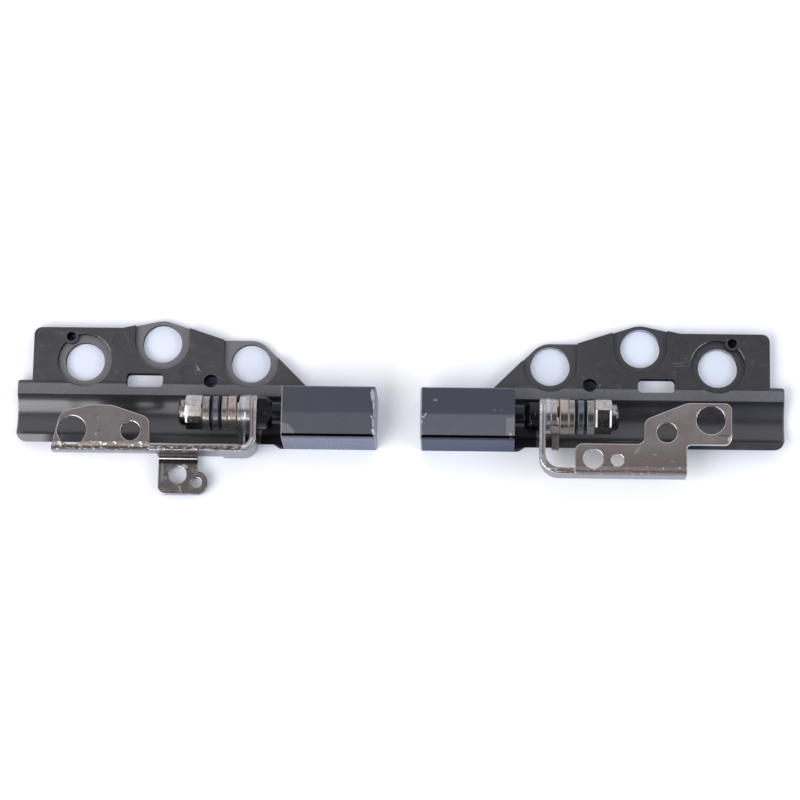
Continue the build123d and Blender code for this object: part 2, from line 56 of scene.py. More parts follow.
# Painted light: how far the coat is lifted near the cap, per side.
PLATE_LIGHT_BY_CAP = {"left": 0.04, "right": 0.2}
TROUGH_RADIUS = 4.7
SEAT_UP = -4.6
RIM_UP = -3.2
EJECTOR_DISCS = [(56.1, 13.3), (43.8, 12.8), (32.2, 7.4)]
EJECTOR_RADIUS = 1.35
ROOT_END = 19.2
LID_HOLES = [(21.55, 9.45), (36.65, 12.7), (49.7, 9.45)]
LID_HOLE_RADIUS = 3.3
FAR_SEAT = LID_HOLES[-1]
LOCATING_HOLE = (52.1, 13.6)
LOCATING_RING = 1.2
SEAT_LINE_RADIUS = 4.68
# Painted highlights: glints on the lid-hole walls and a lit far lip, per side.
HOLE_GLINTS = {"left": 0.12, "right": 0.75}
FAR_LIP_SHEEN = {"left": 0.8, "right": 0.0}
TROUGH_END = 60.75
PLATE_GLOSS = 1.75
# Where a mark fades in, as (from, to) in millimetres along, across or up.
# The first two give where the painted light near the cap fades in.
LEDGE_LIGHT_ALONG = (24, 17)
CAP_LIGHT_ALONG = (34, 16)
TROUGH_BACK_ACROSS = (3.2, 4.0)
ROOT_ACROSS = (-0.8, -1.4)
FAR_LIP_ALONG = (54.5, 56.5)
FAR_LIP_ACROSS = (-3.2, -3.5)
SEAT_LINE_ACROSS = (10.4, 11.4)
SEAT_LINE_BESIDE = (1.4, 2.4)
HOLE_GLINT_UP = (-5.5, -5.2)
# Scuffs on the flange, as (along, across, half length, half width, turn in degrees, strength).
FLANGE_SCUFFS = {
    "left": [
        (30.35, 8.25, 0.75, 0.08, 55, 0.9), (30.5, 8.1, 0.35, 0.07, -15, 0.6),
        (44.1, 7.6, 0.5, 0.2, 0, 0.1),
    ],
    "right": [
        (29.9, 6.1, 0.35, 0.08, 70, 0.6), (43.1, 10.1, 1.2, 0.07, 8, 0.35),
        (43.3, 9.6, 0.9, 0.06, 6, 0.3),
    ],
}


class Wire:
    """An output socket of a finish, so that shader maths is written as plain expressions."""

    def __init__(self, finish, socket):
        self.finish = finish
        self.socket = socket

    def maths(self, operation, first, second=0.0):
        return self.finish.node("Math", {"operation": operation}, {0: first, 1: second})

    def __add__(self, other):
        return self.maths("ADD", self, other)

    def __sub__(self, other):
        return self.maths("SUBTRACT", self, other)

    def __rsub__(self, other):
        return self.maths("SUBTRACT", other, self)

    def __mul__(self, other):
        return self.maths("MULTIPLY", self, other)

    def __truediv__(self, other):
        return self.maths("DIVIDE", self, other)

    def __rtruediv__(self, other):
        return self.maths("DIVIDE", other, self)

    def __pow__(self, other):
        return self.maths("POWER", self, other)

    def __abs__(self):
        return self.maths("ABSOLUTE", self)

    __radd__ = __add__
    __rmul__ = __mul__

    def above(self, start, end):
        """0 below start, 1 above end and a smooth step between; the other way round if end is the smaller."""
        settings = {"interpolation_type": "SMOOTHSTEP"}
        if start < end:
            return self.finish.node("MapRange", settings, {0: self, 1: start, 2: end, 3: 0.0, 4: 1.0})
        return self.finish.node("MapRange", settings, {0: self, 1: end, 2: start, 3: 1.0, 4: 0.0})

    def within(self, middle, half, soft):
        """1 where the value lies within half of middle, with a soft border."""
        return abs(self - middle).above(half + soft, half)

    def either(self, other):
        """The larger of two masks."""
        return self.maths("MAXIMUM", self, other)


class Finish:
    """A procedural surface put together node by node, in millimetres of the hinge that it is on."""

    def __init__(self, owner, where="Object", unit=MM):
        owner.use_nodes = True
        self.owner = owner
        self.tree = owner.node_tree
        self.tree.nodes.clear()
        place = self.node("TexCoord", {}, {}, where)
        self.place = self.node("VectorMath", {"operation": "SCALE"}, {0: place, "Scale": 1 / unit})
        self.x, self.y, self.z = (self.node("SeparateXYZ", {}, {0: self.place}, axis) for axis in "XYZ")

    def node(self, kind, settings, sockets, output=0):
        """Add a node with its settings and inputs, and give one of its outputs."""
        made = self.tree.nodes.new("ShaderNode" + kind)
        for name, value in settings.items():
            setattr(made, name, value)
        for key, value in sockets.items():
            if isinstance(value, Wire):
                self.tree.links.new(value.socket, made.inputs[key])
            else:
                made.inputs[key].default_value = value
        return Wire(self, made.outputs[output]) if made.outputs else None

    def hinge_place(self):
        """Distance along the axis from the cap's outer end, across from the axis and up from it."""
        return abs(self.x) - cap_end, self.y - hinge_axis.y, self.z - hinge_axis.z

    def off(self, place):
        """Level distance from a place given along the axis and across it."""
        along, across = self.hinge_place()[:2]
        return ((along - place[0]) ** 2.0 + (across - place[1]) ** 2.0) ** 0.5

    def stretched(self, along_x, along_y, along_z):
        """The place, scaled by a factor along each axis."""
        scales = (along_x, along_y, along_z)
        return self.node("VectorMath", {"operation": "MULTIPLY"}, {0: self.place, 1: scales})

    def noise(self, scale, detail=2.0, rough=0.5, vector=None):
        """Cloudy noise from 0 to 1, with a scale in waves a millimetre."""
        sockets = {"Vector": vector or self.place, "Scale": scale, "Detail": detail, "Roughness": rough}
        return self.node("TexNoise", {}, sockets)

    def cells(self, scale):
        """Distance to the middle of the nearest cell."""
        return self.node("TexVoronoi", {}, {"Vector": self.place, "Scale": scale}, "Distance")

    def mix(self, first, second, factor):
        """The first colour at a factor of 0 and the second at 1."""
        return self.node("Mix", {"data_type": "RGBA"}, {0: factor, 6: first, 7: second}, 2)

    def facing(self, way):
        """How far the surface faces a fixed direction of the part."""
        normal = self.node("NewGeometry", {}, {}, "Normal")
        turn = {"vector_type": "NORMAL", "convert_from": "WORLD", "convert_to": "OBJECT"}
        local = self.node("VectorTransform", turn, {0: normal})
        return self.node("VectorMath", {"operation": "DOT_PRODUCT"}, {0: local, 1: way}, "Value")

    def streak(self, along, across, half_length, half_width, turn, ragged):
        """1 inside a ragged ellipse about the place where along and across are 0, turned by some degrees."""
        cosine, sine = math.cos(math.radians(turn)), math.sin(math.radians(turn))
        down = along * cosine + across * sine
        over = across * cosine - along * sine
        spread = (down / half_length) ** 2.0 + (over / half_width) ** 2.0 + ragged * 2.0
        return spread.above(1.2, 0.6)

    def edges(self, radius):
        """1 along edges, fading out over a radius in millimetres."""
        normal = self.node("NewGeometry", {}, {}, "Normal")
        rounded = self.node("Bevel", {"samples": 8}, {"Radius": radius * MM})
        same = self.node("VectorMath", {"operation": "DOT_PRODUCT"}, {0: rounded, 1: normal}, "Value")
        return same.above(0.99, 0.85)

    def bump(self, height, depth, edge=0.0):
        """Normal from a relief of 0 to 1 over a depth, with edges softened over a radius, in mm."""
        sockets = {"Height": height, "Distance": depth * MM}
        if edge:
            sockets["Normal"] = self.node("Bevel", {"samples": 12}, {"Radius": edge * MM})
        return self.node("Bump", {}, sockets)

    def shade(self, **sockets):
        """Close the material with its surface shader."""
        named = {}
        for name, value in sockets.items():
            named[name.replace("_", " ").title().replace("Ior", "IOR")] = value
        surface = self.node("BsdfPrincipled", {}, named)
        self.node("OutputMaterial", {}, {"Surface": surface})
        return self.owner


def finish(name):
    """A finish for a new material."""
    return Finish(bpy.data.materials.new(name))


def dress(node, material):
    """Give a CAD node its finish."""
    nodes[node].data.materials.clear()
    nodes[node].data.materials.append(material)


def plate_coat(side):
    """Dark satin coat on cast metal, smoother in the trough, lighter on ledge and seats, with painted
    highlights and shade.
    """
    coat = finish(f"{side}_plate_coat")
    along, across, up = coat.hinge_place()
    dark, light = PLATE_TONES[side]
    clouds = coat.noise(0.4, 3.0, 0.55)
    skin = coat.noise(2.2, 4.0, 0.6)
    smears = coat.noise(0.25, 3.0, 0.7, coat.stretched(1.0, 2.5, 1.0))
    upward_face = coat.facing((0, 0, 1))
    level = upward_face.above(0.75, 0.95)
    colour = coat.mix(dark, light, clouds.above(0.3, 0.7) * 0.6 + smears.above(0.45, 0.75) * 0.6)
    blotches = coat.noise(0.55, 4.0, 0.7, coat.stretched(1.0, 1.4, 1.0)).above(0.56, 0.72)
    colour = coat.mix(colour, PLATE_SMEAR, blotches * smears.above(0.4, 0.6) * 0.7)
    for disc in EJECTOR_DISCS:
        on_disc = coat.off(disc).above(EJECTOR_RADIUS + 0.1, EJECTOR_RADIUS - 0.1)
        colour = coat.mix(colour, PLATE_SHADE_AND_MARKS, on_disc * 0.5)
    # The seats are lighter than the flange; their difference between the plates is painted light.
    seat = up.within(SEAT_UP, 0.1, 0.05) * level
    colour = coat.mix(colour, SEAT_TONES[side], seat * (0.8 + clouds * 0.4))
    ledge = up.within(RIM_UP, 0.12, 0.1) * level * across.above(0, 1)
    # Painted light: the ledge and the coat are lifted towards the cap, far more on the right plate.
    by_cap = along.above(*LEDGE_LIGHT_ALONG)
    colour = coat.mix(colour, LEDGE_TONES[side], ledge * (0.5 + skin * 0.8 + by_cap * 0.8))
    light_by_cap = (along.above(*CAP_LIGHT_ALONG) * 0.4).either(ledge * by_cap) * PLATE_LIGHT_BY_CAP[side]
    colour = coat.mix(colour, PLATE_SHEEN_AND_WEAR, light_by_cap)
    from_axis = (across ** 2.0 + up ** 2.0) ** 0.5
    past_cap = along.above(cap_length, cap_length + 0.1)
    trough = from_axis.above(TROUGH_RADIUS + 0.15, TROUGH_RADIUS + 0.05) * past_cap
    colour = coat.mix(colour, TROUGH_TONES[side], trough)
    # Painted shade: the trough's back, the standing walls and the root by the cap are darkened.
    trough_back = trough * across.above(*TROUGH_BACK_ACROSS)
    colour = coat.mix(colour, PLATE_SHADE_AND_MARKS, trough_back * 0.9)
    wall = abs(upward_face).above(0.5, 0.2) * (1 - trough)
    root = along.above(ROOT_END + 0.3, ROOT_END) * across.above(*ROOT_ACROSS)
    colour = coat.mix(colour, PLATE_SHADE_AND_MARKS, wall.either(root * 0.9))
    # Painted highlights on edges, the far lip, round the far seat and at the trough's end; the scuffs are
    # real.
    edge_sheen = coat.edges(0.16) * skin.above(0.35, 0.65) * (1 - root) * (1 - wall)
    far_lip_sheen = along.above(*FAR_LIP_ALONG) * up.within(RIM_UP, 0.3, 0.2) * across.above(*FAR_LIP_ACROSS)
    colour = coat.mix(colour, PLATE_SHEEN_AND_WEAR, (edge_sheen * 0.3).either(far_lip_sheen * FAR_LIP_SHEEN[side]))
    beside = (FAR_SEAT[0] - along) if side == "left" else abs(along - FAR_SEAT[0])
    seat_line = coat.off(FAR_SEAT).within(SEAT_LINE_RADIUS, 0.06, 0.06)
    seat_line = seat_line * across.above(*SEAT_LINE_ACROSS) * beside.above(*SEAT_LINE_BESIDE)
    seat_line = seat_line * coat.off(LOCATING_HOLE).above(LOCATING_RING, LOCATING_RING + 0.3)
    # Painted highlights: glints on the front walls of the lid holes.
    lid_hole = 0.0
    for hole in LID_HOLES:
        lid_hole = coat.off(hole).above(LID_HOLE_RADIUS + 0.3, LID_HOLE_RADIUS + 0.2).either(lid_hole)
    front_wall = wall * coat.facing((0, -1, 0)).above(0.2, 0.7) * up.above(*HOLE_GLINT_UP)
    hole_glint = front_wall * skin.above(0.25, 0.5) * lid_hole
    end_line = trough * along.above(TROUGH_END - 0.3, TROUGH_END - 0.1)
    sheen_and_scuffs = (seat_line * level * skin.above(0.3, 0.5) * 0.7).either(end_line * 0.35)
    for scuff_along, scuff_across, half_length, half_width, turn, strength in FLANGE_SCUFFS[side]:
        place = along - scuff_along, across - scuff_across
        scuff = coat.streak(*place, half_length, half_width, turn, skin - 0.5) * level
        sheen_and_scuffs = sheen_and_scuffs.either(scuff * strength)
    colour = coat.mix(colour, PLATE_SHEEN_AND_WEAR, sheen_and_scuffs)
    hole_highlight = hole_glint * HOLE_GLINTS[side]
    colour = coat.mix(colour, HOLE_GLINT_TONE, hole_highlight)
    roughness = (0.38 + skin * 0.12 + wall * 0.3) * (1 - trough) + trough * 0.26
    normal = coat.bump((skin * 0.7 + clouds) * (1 - trough), 0.014)
    dull = wall.either(root).either(trough_back) * (1 - sheen_and_scuffs.either(hole_highlight)) * 0.85
    return coat.shade(base_color=colour, roughness=roughness, metallic=dull, ior=PLATE_GLOSS, normal=normal)


for side in SIDES:
    dress(f"{side}_hinge_plate", plate_coat(side))

# Barrel caps
# A painted cover slid over the plate's boss, with a closed outer end and a faint crease along its top. The
# paint is a blue-grey satin, chipped down to the metal at the outer end. Its lighter fall in front of the
# crease, bluish front face and lighter back edge are painted light and painted reflection, the black line in
# the corner above the front face is painted shade, and on the left cap a bright line along the inner end is
# painted highlight. The two caps carry different, lit and shaded, copies of these tones.
CAP_TOP_TONE = (0.044, 0.047, 0.062, 1)
# Painted light: the fall, front and back tones stand for light and the table's reflection; the line is shade.
CAP_FALL_TONES = {"left": (0.074, 0.074, 0.090, 1), "right": (0.098, 0.098, 0.118, 1)}
CAP_BACK_HIGHLIGHT = (0.105, 0.105, 0.16, 1)
CAP_SHADE_LINE_TONE = (0.002, 0.0025, 0.006, 1)
CAP_FRONT_TONES = {"left": (0.104, 0.120, 0.198, 1), "right": (0.064, 0.076, 0.138, 1)}
CAP_FRONT_CLOUD = (0.075, 0.075, 0.13, 1)
CAP_PALE = (0.19, 0.185, 0.20, 1)
# Bare metal in the chips, and the painted highlight line on the left cap.
CAP_METAL_AND_SHEEN = (0.60, 0.60, 0.64, 1)
CAP_GLOSS = {"left": 1.5, "right": 1.42}
CAP_CREASE = -0.35
CAP_LINE_ACROSS = -3.85
CAP_LINE_UP = 1.2
CAP_BACK_ACROSS = 4.0
CAP_CORNER_ACROSS = -4.3
CAP_CORNER_SIZE = (2.3, 2.2)
CAP_STRIP_ALONG = (14.2, 14.35)
CAP_STRIP_ACROSS = (-0.75, -0.95)
CAP_SLIVER_SLOPE = 0.48
CAP_END_WEAR = {"left": 0.45, "right": 0.8}
CAP_FRONT_RIPPLES = {"left": 0.5, "right": 0.0}
CAP_FRONT_MATT = {"left": 0.0, "right": 0.3}
# Chips in the top face, as (along, across, half length, half width, turn in degrees, bareness).
CAP_CHIPS = {
    "left": [
        (0.55, 2.7, 1.1, 0.34, 84, 0.8), (0.35, 1.0, 0.9, 0.18, 88, 0.8), (0.62, -1.0, 0.3, 0.12, 55, 1.0),
        (0.4, -2.0, 0.9, 0.16, 86, 0.8), (0.3, -3.5, 0.7, 0.3, 75, 1.0), (0.28, -0.4, 0.6, 0.1, 90, 0.6),
    ],
    "right": [
        (2.45, 2.0, 0.34, 0.2, 0, 0.35), (0.86, -0.5, 0.42, 0.09, 62, 1.0),
        (0.5, -0.88, 0.28, 0.09, -12, 1.0), (0.3, -1.6, 0.36, 0.09, -65, 0.8),
        (12.4, 0.42, 0.14, 0.1, 0, 0.3), (13.4, 0.3, 0.1, 0.08, 0, 0.3), (15.0, -3.6, 0.2, 0.25, 0, 0.7),
        (15.1, -4.3, 0.3, 0.12, 0, 0.7), (0.2, 1.2, 1.0, 0.1, 92, 0.35),
    ],
}


def cap_paint(side):
    """Chipped satin paint, with painted light on the fall, front and back edge, and a painted shade line."""
    paint = finish(f"{side}_cap_paint")
    along, across, up = paint.hinge_place()
    haze = paint.noise(0.3, 3.0)
    ragged = paint.noise(3.0, 4.0, 0.65) - 0.5
    top = paint.facing((0, 0, 1))
    front = paint.facing((0, -1, 0)).above(0.75, 0.9)
    # Painted light: the fall in front of the crease is lighter, more so on the right cap.
    fall = across.above(CAP_CREASE + 0.25, CAP_CREASE - 0.25)
    colour = paint.mix(CAP_TOP_TONE, CAP_FALL_TONES[side], fall * (0.8 + haze * 0.4))
    # Painted reflection: the front face is bluish, as the table shows in it, darker on the right cap.
    ripples = paint.noise(0.5, 2.0, 0.5, paint.stretched(0.8, 1.0, 2.2)).above(0.52, 0.68)
    front_tone = paint.mix(CAP_FRONT_TONES[side], CAP_FRONT_CLOUD, ripples * CAP_FRONT_RIPPLES[side])
    colour = paint.mix(colour, front_tone, front)
    # Painted highlight: a lighter back edge.
    colour = paint.mix(colour, CAP_BACK_HIGHLIGHT, across.above(CAP_BACK_ACROSS, CAP_BACK_ACROSS + 0.15))
    corner_along = (along - cap_length) / CAP_CORNER_SIZE[0]
    corner_across = (across - CAP_CORNER_ACROSS) / CAP_CORNER_SIZE[1]
    inner_corner = corner_along ** 2.0 + corner_across ** 2.0
    strip = along.above(*CAP_STRIP_ALONG) * across.above(*CAP_STRIP_ACROSS)
    outer_sliver = (along + across * CAP_SLIVER_SLOPE).above(-1.0, -1.1)
    pale = inner_corner.above(1.06, 0.97) if side == "left" else strip.either(outer_sliver * 0.7)
    colour = paint.mix(colour, CAP_PALE, pale * top.above(0.9, 0.97) * 0.7)
    # Painted shade: a black line in the corner above the front face.
    shade_line = across.above(CAP_LINE_ACROSS + 0.06, CAP_LINE_ACROSS - 0.06)
    shade_line = shade_line * up.above(CAP_LINE_UP - 0.1, CAP_LINE_UP)
    colour = paint.mix(colour, CAP_SHADE_LINE_TONE, shade_line)
    chips_and_sheen = along.above(0.3, 0.15) * CAP_END_WEAR[side]
    # On the left cap, a bright line along the inner end is painted highlight, laid in with the real chips.
    if side == "left":
        chips_and_sheen = chips_and_sheen.either(along.above(cap_length - 0.2, cap_length - 0.08) * 0.5)
    for chip_along, chip_across, half_length, half_width, turn, bareness in CAP_CHIPS[side]:
        chip = paint.streak(along - chip_along, across - chip_across, half_length, half_width, turn, ragged)
        chips_and_sheen = chips_and_sheen.either(chip * top.above(0.3, 0.6) * bareness)
    bare_and_sheen = chips_and_sheen * (0.75 + ragged * 1.5)
    colour = paint.mix(colour, CAP_METAL_AND_SHEEN, bare_and_sheen)
    roughness = 0.24 + haze * 0.08 - shade_line * 0.12 + bare_and_sheen * 0.2 + front * CAP_FRONT_MATT[side]
    normal = paint.bump(haze * 0.1 - bare_and_sheen * 0.8, 0.015)
    metallic = (bare_and_sheen * 0.5).either(shade_line * 0.9)
    gloss = CAP_GLOSS[side]
    return paint.shade(base_color=colour, roughness=roughness, metallic=metallic, ior=gloss, normal=normal)


for side in SIDES:
    dress(f"{side}_barrel_cap", cap_paint(side))

# Shafts
# Turned steel pins with a flatted shoulder, blackened and wet with grease. Each is pressed into its plate's
# boss and carries the bracket's arm and the friction stack.
SHAFT_BLACK = (0.0015, 0.0015, 0.004, 1)
SHAFT_GREASE = (0.006, 0.006, 0.011, 1)
# Painted glints: pale specks near the arm.
SHAFT_GLINT = (0.45, 0.45, 0.46, 1)
SHAFT_GLINTS_ALONG = (17.6, 18.6)
SHAFT_EDGE = 0.1
SHAFT_GLOSS = 1.38


def black_steel():
    """Blackened steel under a film of grease, with a few pale specks of painted glint near the arm."""
    steel = finish("black_steel")
    along = steel.hinge_place()[0]
    film = steel.noise(0.7, 3.0, 0.5)
    glint_specks = steel.cells(2.4).above(0.2, 0.1) * film.above(0.5, 0.6) * along.above(*SHAFT_GLINTS_ALONG)
    colour = steel.mix(SHAFT_BLACK, SHAFT_GREASE, film.above(0.4, 0.7))
    colour = steel.mix(colour, SHAFT_GLINT, glint_specks * 0.6)
    roughness = 0.10 + film * 0.12 + glint_specks * 0.3
    normal = steel.bump(film * 0.5 + glint_specks * 0.4, 0.02, SHAFT_EDGE)
    return steel.shade(base_color=colour, roughness=roughness, ior=SHAFT_GLOSS, normal=normal)


shaft_finish = black_steel()
for side in SIDES:
    dress(f"{side}_shaft", shaft_finish)

# Base brackets
# Stamped and folded steel sheet with a worn nickel plate, finely pitted on the flats and scuffed along the
# folds. Glints along the folds and the arm, light edges, bright walls round the rolled edges of the punched
# holes and a glint on the right lobe's corner are painted highlights; the dark bends, the ear's neck, the
# standing walls and the darkened ear are painted shade.
NICKEL_TONES = {
    "left": ((0.29, 0.255, 0.24, 1), (0.36, 0.33, 0.32, 1)),
    "right": ((0.33, 0.27, 0.245, 1), (0.43, 0.395, 0.38, 1)),
}
# Pale for scuffs and painted highlights, dark for dark scuffs and painted shade; wall and neck are shade.
NICKEL_SHEEN_AND_SCUFF = (0.88, 0.86, 0.84, 1)
NICKEL_SHADE_AND_SCUFF = (0.09, 0.075, 0.07, 1)
NICKEL_RUST = (0.22, 0.165, 0.15, 1)
NICKEL_WALL_SHADE = (0.21, 0.195, 0.21, 1)
NECK_SHADE = (0.042, 0.037, 0.036, 1)
NICKEL_EDGE = 0.22
EAR_UP = -3.0
EAR_MIDDLE = 33.25
EAR_HALF = 3.35
WALL_FACES = {"left": -7.0, "right": -10.1}
SHEET = 1.0
ARM_MIDDLE = 20.3
ARM_FACE = 20.8
# Painted light on the arm's top and painted glints on its strip, per side.
ARM_LIGHT = {"left": 0.28, "right": 0.5}
ARM_SHINE = {"left": 0.45, "right": 1.0}
FOLD_CRUMBS = {"left": (0.54, 0.66), "right": (0.59, 0.69)}
FOLD_DARK = {"left": 0.8, "right": 0.35}
BEND_DARK = {"left": 0.75, "right": 0.1}
BEND_RADII = {"left": 1.5, "right": 2.3}
BEND_GLARE = {"left": 0.95, "right": 0.2}
HOLE_WALL_FACE = (-0.35, -0.93, 0)
EAR_BEND_FACE = (0, -0.5, 0.87)
# Where a mark fades in, as (from, to) in millimetres along, across or up.
FOLD_STARTS = {"left": (37.4, 37.6), "right": (25.7, 25.9)}
FOLD_UP = (1.8, 2.2)
BEND_UP = (1.2, 1.6)
TAB_UP = (1.5, 2.0)
HOLE_WALL_UP = (1.7, 2.0)
ARM_TOP_UP = (2.4, 2.8)
RUST_ACROSS = (-4.0, -8.0)
NECK_ACROSS = (-8.3, -7.9)
NECK_UP = (1.6, 1.0)
EAR_BEND_ACROSS = (-9.0, -8.6)
EAR_BEND_UP = (0.0, -0.5)
# Scuffs, and a few painted glints with painted shade beside the one at the right lobe's corner, as (along,
# across, half length, half width, turn in degrees, brightness), dark where below 0.
SCUFFS_AND_GLINTS = {
    "left": [
        (32.1, -8.5, 0.55, 0.35, 30, 0.75), (32.75, -12.4, 0.7, 0.1, 75, 0.6),
        (33.0, -12.0, 0.35, 0.1, 20, 0.5), (35.33, -10.46, 0.4, 0.14, 50, 0.45),
        (35.9, -9.6, 1.6, 0.25, 90, 0.35), (46.3, -1.3, 0.3, 0.2, 0, -0.3), (46.1, -1.5, 0.25, 0.1, 10, 0.35),
        (45.9, -3.8, 0.35, 0.25, 20, -0.35), (46.4, -4.5, 0.2, 0.2, 0, 0.4), (45.0, -2.9, 0.2, 0.12, 0, -0.3),
    ],
    "right": [
        (51.5, -3.75, 1.0, 0.36, 45, 1.0), (38.8, -6.8, 0.4, 0.1, -8, 0.5),
        (41.7, -7.9, 0.45, 0.08, -10, 0.35), (35.9, -6.2, 0.8, 0.25, 50, 0.3),
        (50.3, -3.5, 1.1, 0.2, 0, -0.4),
    ],
}


def nickel_sheet(side):
    """Nickel plate, brownish on the flats, with painted highlights and shade on its edges, folds and bends.
    """
    plate = finish(f"{side}_nickel_sheet")
    along, across, up = plate.hinge_place()
    brown, pale = NICKEL_TONES[side]
    wall_face, bend_radius = WALL_FACES[side], BEND_RADII[side]
    patches = plate.noise(0.3, 4.0, 0.6)
    grain = plate.noise(5.0, 3.0, 0.6)
    dents = plate.cells(0.55).above(0.16, 0.06) * patches.above(0.5, 0.62)
    colour = plate.mix(brown, pale, patches.above(0.3, 0.7) * 0.7 + grain * 0.3)
    ear = up.above(EAR_UP + 0.3, EAR_UP)
    neck = along.within(EAR_MIDDLE, EAR_HALF, 0.08) * up.above(*NECK_UP) * across.above(*NECK_ACROSS)
    # Painted shade: the low ear is darkened, with lighter cloudy patches over it.
    colour = plate.mix(colour, NICKEL_SHADE_AND_SCUFF, ear * 0.42)
    colour = plate.mix(colour, pale, ear * plate.noise(0.7, 2.0, 0.5).above(0.45, 0.7) * 0.8)
    colour = plate.mix(colour, NICKEL_RUST, across.above(*RUST_ACROSS) * up.above(*TAB_UP) * patches * 0.8)
    # Painted shade: standing walls take a dim lilac tone, and the ear's neck goes near black.
    standing = abs(plate.facing((0, 0, 1))).above(0.5, 0.2)
    colour = plate.mix(colour, NICKEL_WALL_SHADE, standing)
    colour = plate.mix(colour, NECK_SHADE, neck * 0.95)
    crumbs = plate.noise(1.5, 3.0, 0.65, plate.stretched(0.9, 1.6, 1.6))
    # Painted shade: the bends are darkened, and the fold in dark crumbs between its glints.
    fold = across.within(wall_face + 0.3, 0.3, 0.3) * up.above(*FOLD_UP)
    bend = plate.facing((0, -1, 0)).within(0.5, 0.38, 0.1) * up.above(*BEND_UP)
    fold_dark = fold * crumbs.above(0.54, 0.42) * FOLD_DARK[side]
    colour = plate.mix(colour, NICKEL_SHADE_AND_SCUFF, fold_dark.either(bend * BEND_DARK[side]))
    # Painted highlights: edges, arm top, fold and bend glints, hole walls, the arm strip's glints and ear
    # bend.
    folded = along.above(*FOLD_STARTS[side]) * across.above(wall_face + 1.8, wall_face + 1.5)
    edge_sheen = plate.edges(0.28) * up.above(*TAB_UP).either(ear * (1 - neck))
    edge_sheen = edge_sheen * (0.35 + grain * 0.6) * (1 - folded)
    behind_wall = across.above(wall_face + 1.2, wall_face + 1.5)
    hole_wall = standing * up.above(*HOLE_WALL_UP) * behind_wall
    hole_wall = hole_wall * plate.facing(HOLE_WALL_FACE).above(0.4, 0.8)
    arm = along.within(ARM_MIDDLE, 0.6, 0.1) * up.above(*ARM_TOP_UP) * ARM_LIGHT[side]
    glints = fold.either(bend) * crumbs.above(*FOLD_CRUMBS[side])
    bend_end = ARM_FACE + bend_radius
    past_arm = (bend_end - along).either(0.0)
    past_wall = (wall_face + SHEET + bend_radius - across).either(0.0)
    depth = bend_radius + SHEET - (past_arm ** 2.0 + past_wall ** 2.0) ** 0.5
    strip = up.above(*ARM_TOP_UP) * along.above(bend_end + 0.6, bend_end)
    in_bend = (past_arm * past_wall).above(0.15, 0.6)
    crease = (depth.within(0.58, 0.07, 0.1) * (1 - in_bend)).either(depth.above(0.84, 0.96))
    shine = depth.above(0.42, 0.3) * crumbs.above(0.42, 0.54) * ARM_SHINE[side]
    glare = depth.within(0.6, 0.18, 0.14) * in_bend * BEND_GLARE[side]
    ear_bend = plate.facing(EAR_BEND_FACE).above(0.93, 0.98)
    ear_bend = ear_bend * up.above(*EAR_BEND_UP) * across.above(*EAR_BEND_ACROSS)
    bright = edge_sheen.either(arm).either(glints).either(hole_wall * 0.9).either(strip * shine.either(glare))
    bright = bright.either(ear_bend * 0.7)
    colour = plate.mix(colour, NICKEL_SHEEN_AND_SCUFF, bright)
    # Painted shade: dark crease lines on the arm's rounded strip.
    colour = plate.mix(colour, NICKEL_SHADE_AND_SCUFF, strip * crease * 0.6)
    level = plate.facing((0, 0, 1)).above(0.8, 0.95)
    for scuff_along, scuff_across, half_length, half_width, turn, brightness in SCUFFS_AND_GLINTS[side]:
        place = along - scuff_along, across - scuff_across
        scuff = plate.streak(*place, half_length, half_width, turn, crumbs - 0.5) * level * abs(brightness)
        colour = plate.mix(colour, NICKEL_SHEEN_AND_SCUFF if brightness > 0 else NICKEL_SHADE_AND_SCUFF, scuff)
    roughness = 0.18 + grain * 0.1 + bend * 0.15
    height = grain * 0.04 - dents * 0.25 + fold * crumbs * 1.1
    normal = plate.bump(height, 0.04, NICKEL_EDGE)
    return plate.shade(base_color=colour, metallic=1.0, roughness=roughness, normal=normal)


for side in SIDES:
    dress(f"{side}_base_bracket", nickel_sheet(side))

# Stop collars and friction stacks
# Turned and stamped steel rings on the shaft: a pegged collar, a brown friction washer, plain washers with
# two black disc springs between them, and a plated lock nut with a round nose. Painted shade mixed with
# grease darkens their lower fronts and one flat of the nut; a bluish band on the collar and glints on the
# nut are painted highlights.
RING_TONES = {
    "stop_collar": ((0.53, 0.475, 0.44, 1), (0.34, 0.305, 0.28, 1)),
    "friction_washer": ((0.53, 0.44, 0.405, 1), (0.34, 0.285, 0.25, 1)),
    "pressure_washer": ((0.40, 0.39, 0.35, 1), (0.22, 0.22, 0.20, 1)),
    "spacer_washer": ((0.22, 0.24, 0.27, 1), (0.09, 0.10, 0.12, 1)),
    "thrust_washer": ((0.40, 0.38, 0.36, 1), (0.16, 0.15, 0.14, 1)),
    "inner_disc_spring": ((0.020, 0.022, 0.030, 1), (0.008, 0.008, 0.012, 1)),
    "outer_disc_spring": ((0.020, 0.022, 0.030, 1), (0.008, 0.008, 0.012, 1)),
    "lock_nut": ((0.60, 0.565, 0.54, 1), (0.27, 0.25, 0.24, 1)),
}
# How far painted shade mixed with grease darkens the rings, per side.
RING_SHADE_AND_GREASE = {"left": 0.9, "right": 0.5}
RING_SHADE_STARTS = {"left": 0.6, "right": 0.2}
NUT_SHADE_STARTS = {"left": 1.0, "right": 1.5}
RING_EDGE = 0.1
RING_GREASE_AND_SHADE = (0.010, 0.009, 0.009, 1)
RING_RELIEF = 0.04
RING_DULLING = 0.85
NUT_SHADE_AND_GREASE = 0.97
NUT_MIDDLE = 30.35
NUT_HALF = 1.45
NUT_CROWN = 0.012
NUT_GLINTS = {"left": [31.55], "right": [29.2, 31.55]}
NUT_GLINT = (0.92, 0.90, 0.86, 1)
NUT_FACET = (0, -0.309, 0.951)
